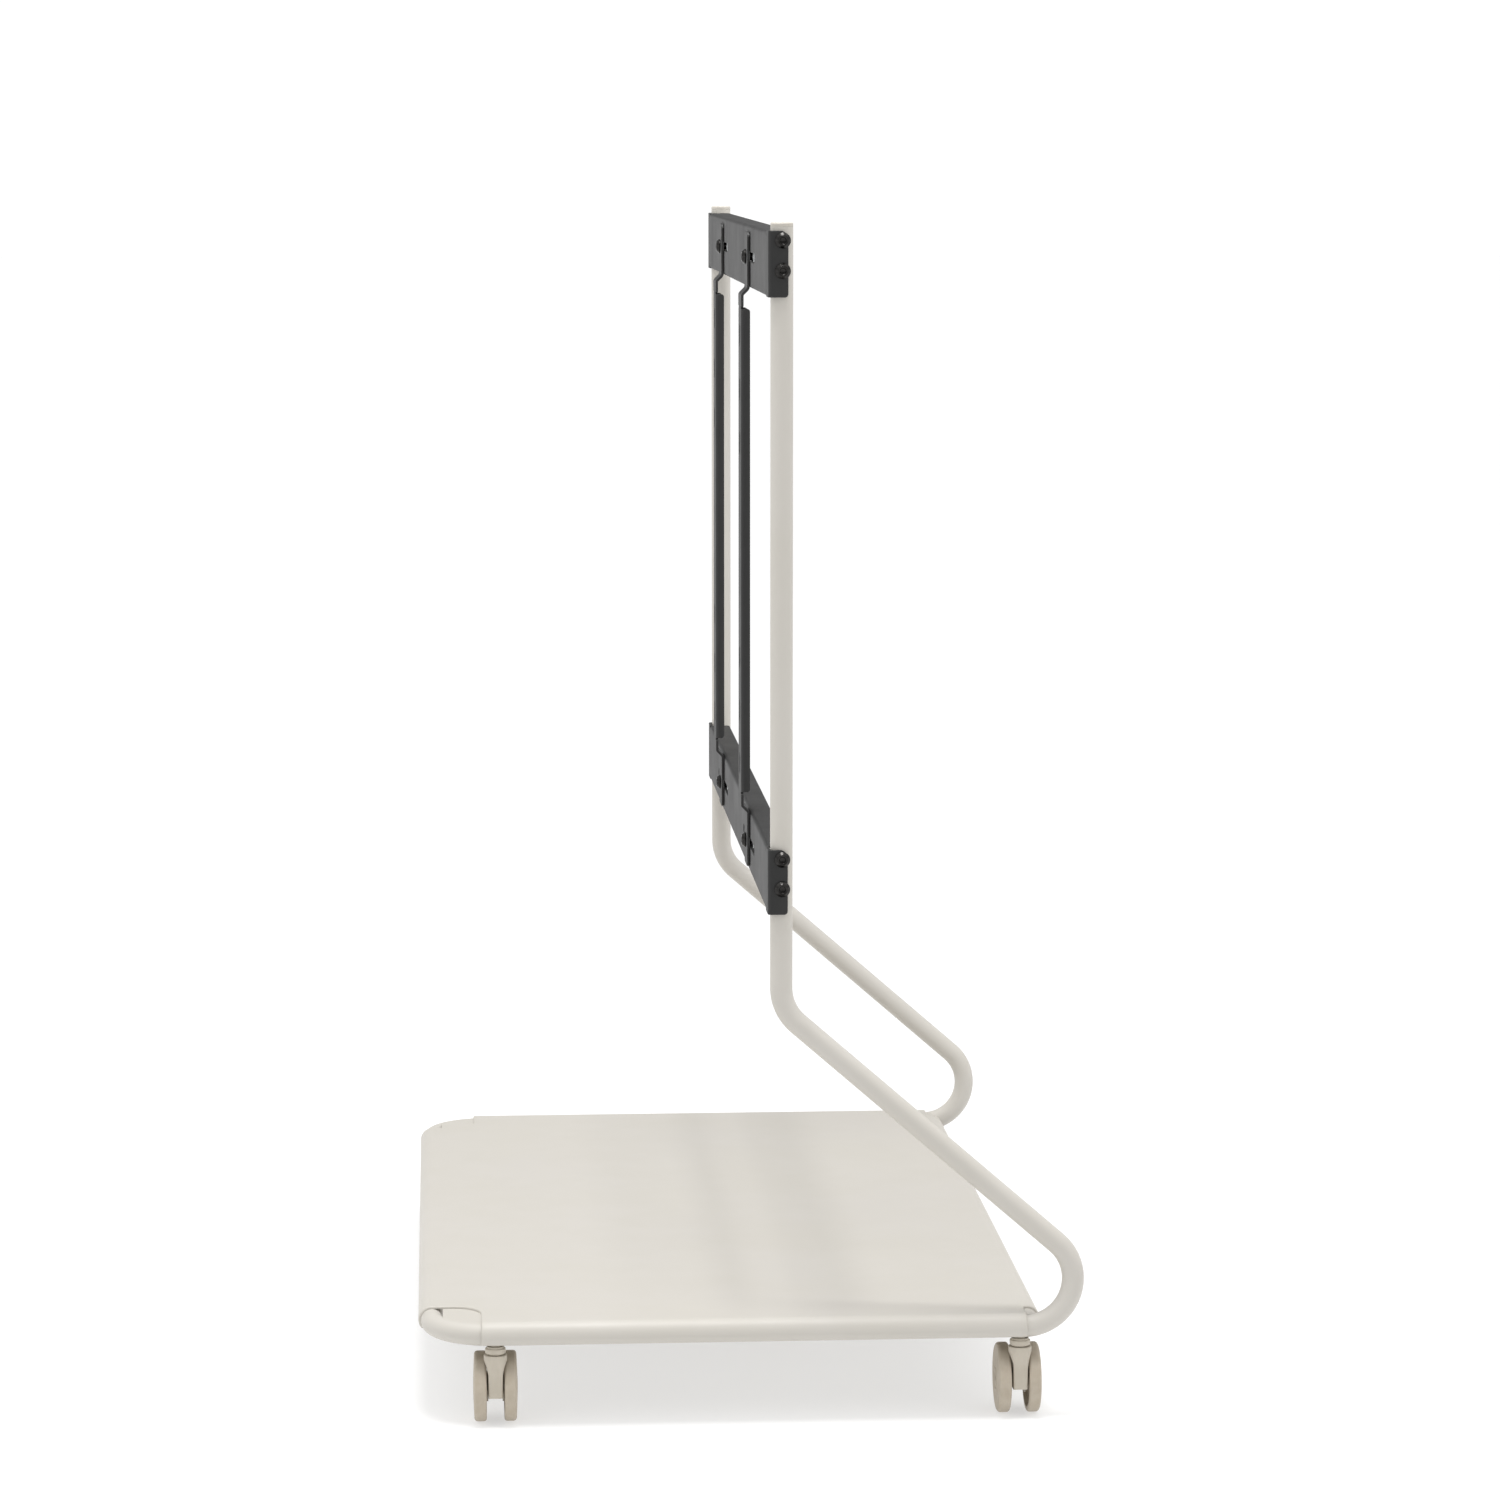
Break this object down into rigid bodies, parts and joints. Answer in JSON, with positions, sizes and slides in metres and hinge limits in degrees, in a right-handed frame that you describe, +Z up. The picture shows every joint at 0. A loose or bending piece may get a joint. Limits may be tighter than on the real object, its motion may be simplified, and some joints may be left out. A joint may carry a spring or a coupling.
{
  "type": "pedestal tv stand",
  "caption": "Rolling pedestal stand: bent tube sides, rolled sheet base shelf, slotted cross rails and arms for a flat load, twin wheel swivel casters.",
  "frame": {"origin": "on the floor under the middle of the stand, at the middle of the bottom of its box", "axes": "+Z up, -Y to the front, where the arms face and the shelf reaches out, +X to the stand's own side on the right when it is seen from the front"},
  "size_m": [0.9276, 0.5998, 1.075],
  "materials": {
    "cream_powder_coat": "satin cream powder coat on steel",
    "black_powder_coat": "satin black powder coat on steel",
    "cream_nylon": "moulded warm grey-cream nylon",
    "cream_polyethylene": "moulded cream plug",
    "black_oxide_steel": "black oxide socket bolts",
    "zinc_plated_steel": "bright zinc plate"
  },
  "bodies": {
    "stand": {"base_shelf": "cream_powder_coat", "front_joint_sleeve": "zinc_plated_steel", "front_left_caster_stem": "cream_nylon", "front_right_caster_stem": "cream_nylon", "left_corner_gusset": "cream_powder_coat", "left_frame_tube": "cream_powder_coat", "left_mount_arm": "black_powder_coat", "left_shelf_rib": "cream_powder_coat", "left_upright_cap": "cream_polyethylene", "lower_left_arm_bolt": "black_oxide_steel", "lower_left_arm_nut": "zinc_plated_steel", "lower_left_nut_bar": "zinc_plated_steel", "lower_left_rail_bolt_1": "black_oxide_steel", "lower_left_rail_bolt_2": "black_oxide_steel", "lower_rail": "black_powder_coat", "lower_right_arm_bolt": "black_oxide_steel", "lower_right_arm_nut": "zinc_plated_steel", "lower_right_nut_bar": "zinc_plated_steel", "lower_right_rail_bolt_1": "black_oxide_steel", "lower_right_rail_bolt_2": "black_oxide_steel", "rear_cross_tube": "cream_powder_coat", "rear_left_caster_stem": "cream_nylon", "rear_right_caster_stem": "cream_nylon", "right_corner_gusset": "cream_powder_coat", "right_frame_tube": "cream_powder_coat", "right_mount_arm": "black_powder_coat", "right_shelf_rib": "cream_powder_coat", "right_upright_cap": "cream_polyethylene", "upper_left_arm_bolt": "black_oxide_steel", "upper_left_arm_nut": "zinc_plated_steel", "upper_left_nut_bar": "zinc_plated_steel", "upper_left_rail_bolt_1": "black_oxide_steel", "upper_left_rail_bolt_2": "black_oxide_steel", "upper_rail": "black_powder_coat", "upper_right_arm_bolt": "black_oxide_steel", "upper_right_arm_nut": "zinc_plated_steel", "upper_right_nut_bar": "zinc_plated_steel", "upper_right_rail_bolt_1": "black_oxide_steel", "upper_right_rail_bolt_2": "black_oxide_steel"},
    "front_left_caster": {"front_left_caster_yoke": "cream_nylon", "front_left_caster_axle": "zinc_plated_steel"},
    "front_left_fore_wheel": {"front_left_fore_wheel": "cream_nylon"},
    "front_left_aft_wheel": {"front_left_aft_wheel": "cream_nylon"},
    "front_right_caster": {"front_right_caster_yoke": "cream_nylon", "front_right_caster_axle": "zinc_plated_steel"},
    "front_right_fore_wheel": {"front_right_fore_wheel": "cream_nylon"},
    "front_right_aft_wheel": {"front_right_aft_wheel": "cream_nylon"},
    "rear_left_caster": {"rear_left_caster_yoke": "cream_nylon", "rear_left_caster_axle": "zinc_plated_steel"},
    "rear_left_fore_wheel": {"rear_left_fore_wheel": "cream_nylon"},
    "rear_left_aft_wheel": {"rear_left_aft_wheel": "cream_nylon"},
    "rear_right_caster": {"rear_right_caster_yoke": "cream_nylon", "rear_right_caster_axle": "zinc_plated_steel"},
    "rear_right_fore_wheel": {"rear_right_fore_wheel": "cream_nylon"},
    "rear_right_aft_wheel": {"rear_right_aft_wheel": "cream_nylon"}
  },
  "joints": [
    {"name": "front_left_swivel", "type": "hinge", "parent": "stand", "child": "front_left_caster", "pos_m": [-0.447, -0.231, 0.066], "axis": [0, 0, 1], "continuous": true},
    {"name": "front_left_fore_spin", "type": "hinge", "parent": "front_left_caster", "child": "front_left_fore_wheel", "pos_m": [-0.427, -0.231, 0.03175], "axis": [0, 1, 0], "continuous": true},
    {"name": "front_left_aft_spin", "type": "hinge", "parent": "front_left_caster", "child": "front_left_aft_wheel", "pos_m": [-0.427, -0.231, 0.03175], "axis": [0, 1, 0], "continuous": true},
    {"name": "front_right_swivel", "type": "hinge", "parent": "stand", "child": "front_right_caster", "pos_m": [0.447, -0.231, 0.066], "axis": [0, 0, 1], "continuous": true},
    {"name": "front_right_fore_spin", "type": "hinge", "parent": "front_right_caster", "child": "front_right_fore_wheel", "pos_m": [0.427, -0.231, 0.03175], "axis": [0, 1, 0], "continuous": true},
    {"name": "front_right_aft_spin", "type": "hinge", "parent": "front_right_caster", "child": "front_right_aft_wheel", "pos_m": [0.427, -0.231, 0.03175], "axis": [0, 1, 0], "continuous": true},
    {"name": "rear_left_swivel", "type": "hinge", "parent": "stand", "child": "rear_left_caster", "pos_m": [-0.447, 0.2423, 0.066], "axis": [0, 0, 1], "continuous": true},
    {"name": "rear_left_fore_spin", "type": "hinge", "parent": "rear_left_caster", "child": "rear_left_fore_wheel", "pos_m": [-0.427, 0.2423, 0.03175], "axis": [0, 1, 0], "continuous": true},
    {"name": "rear_left_aft_spin", "type": "hinge", "parent": "rear_left_caster", "child": "rear_left_aft_wheel", "pos_m": [-0.427, 0.2423, 0.03175], "axis": [0, 1, 0], "continuous": true},
    {"name": "rear_right_swivel", "type": "hinge", "parent": "stand", "child": "rear_right_caster", "pos_m": [0.447, 0.2423, 0.066], "axis": [0, 0, 1], "continuous": true},
    {"name": "rear_right_fore_spin", "type": "hinge", "parent": "rear_right_caster", "child": "rear_right_fore_wheel", "pos_m": [0.427, 0.2423, 0.03175], "axis": [0, 1, 0], "continuous": true},
    {"name": "rear_right_aft_spin", "type": "hinge", "parent": "rear_right_caster", "child": "rear_right_aft_wheel", "pos_m": [0.427, 0.2423, 0.03175], "axis": [0, 1, 0], "continuous": true}
  ]
}
